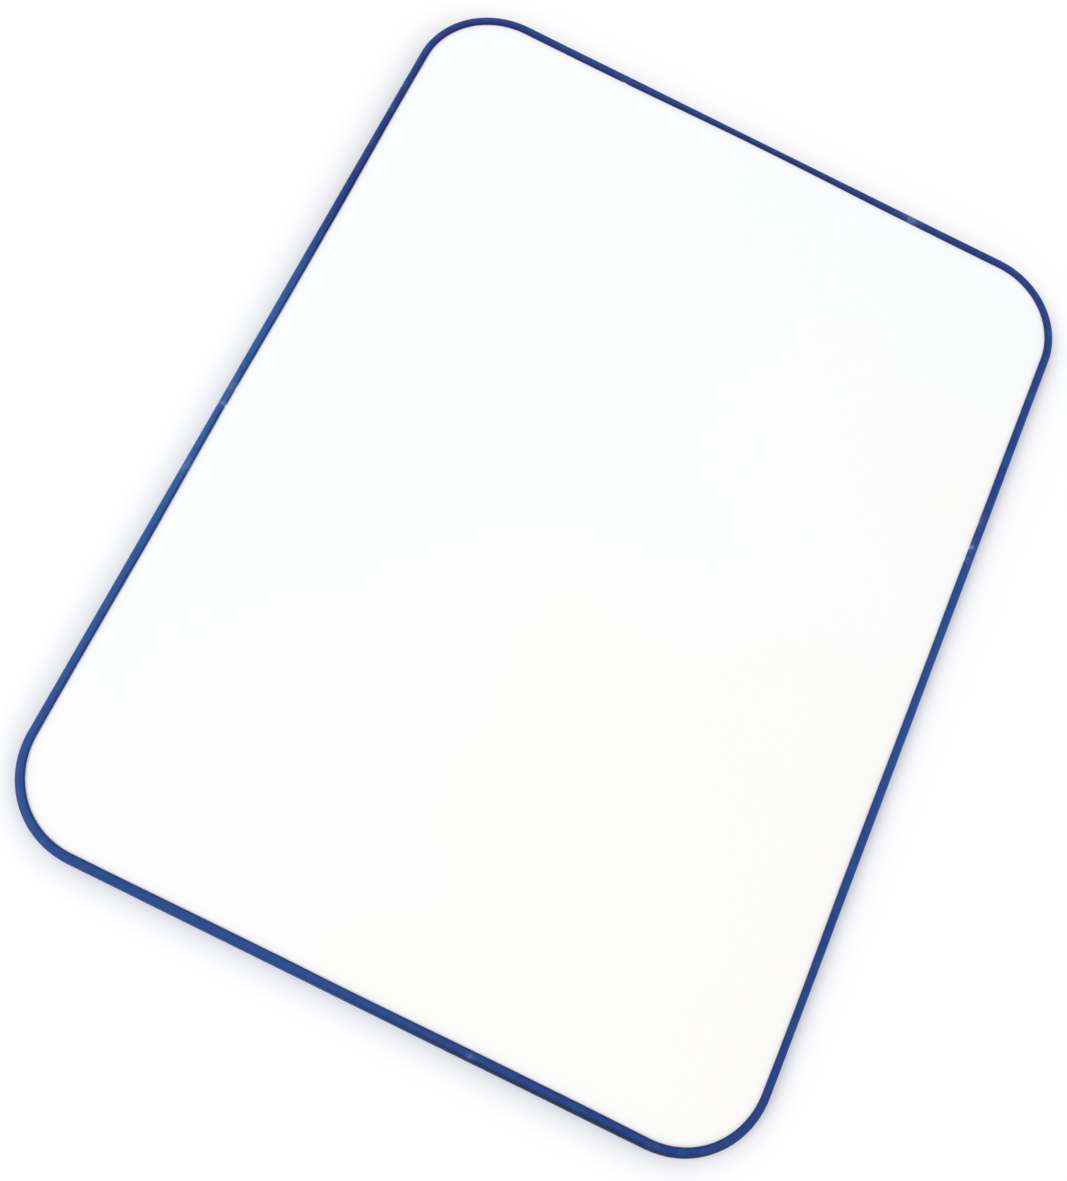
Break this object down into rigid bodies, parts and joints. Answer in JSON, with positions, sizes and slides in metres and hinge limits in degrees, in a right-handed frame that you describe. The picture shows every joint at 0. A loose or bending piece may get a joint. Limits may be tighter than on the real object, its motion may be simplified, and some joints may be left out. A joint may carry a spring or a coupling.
{
  "type": "dry-erase lap board",
  "caption": "Thin portrait dry-erase lap board with rounded corners, a blank glossy writing face and a wrap-around extruded plastic edge trim.",
  "frame": {"origin": "centre of the board's outline, at the underside of the rear trim lip that it lies on", "axes": "+X across the board, +Y along the board towards its top, +Z out of the front writing face"},
  "size_m": [0.2306, 0.3068, 0.0058],
  "materials": {
    "writing_laminate": "gloss",
    "laminating_adhesive": "satin",
    "hardboard": "matte",
    "trim_glue": "satin",
    "trim_vinyl": "satin"
  },
  "bodies": {
    "root": {"front_writing_sheet": "writing_laminate", "front_adhesive_film": "laminating_adhesive", "core_board": "hardboard", "rear_adhesive_film": "laminating_adhesive", "rear_writing_sheet": "writing_laminate", "trim_glue_bead": "trim_glue", "edge_trim": "trim_vinyl"}
  },
  "joints": []
}
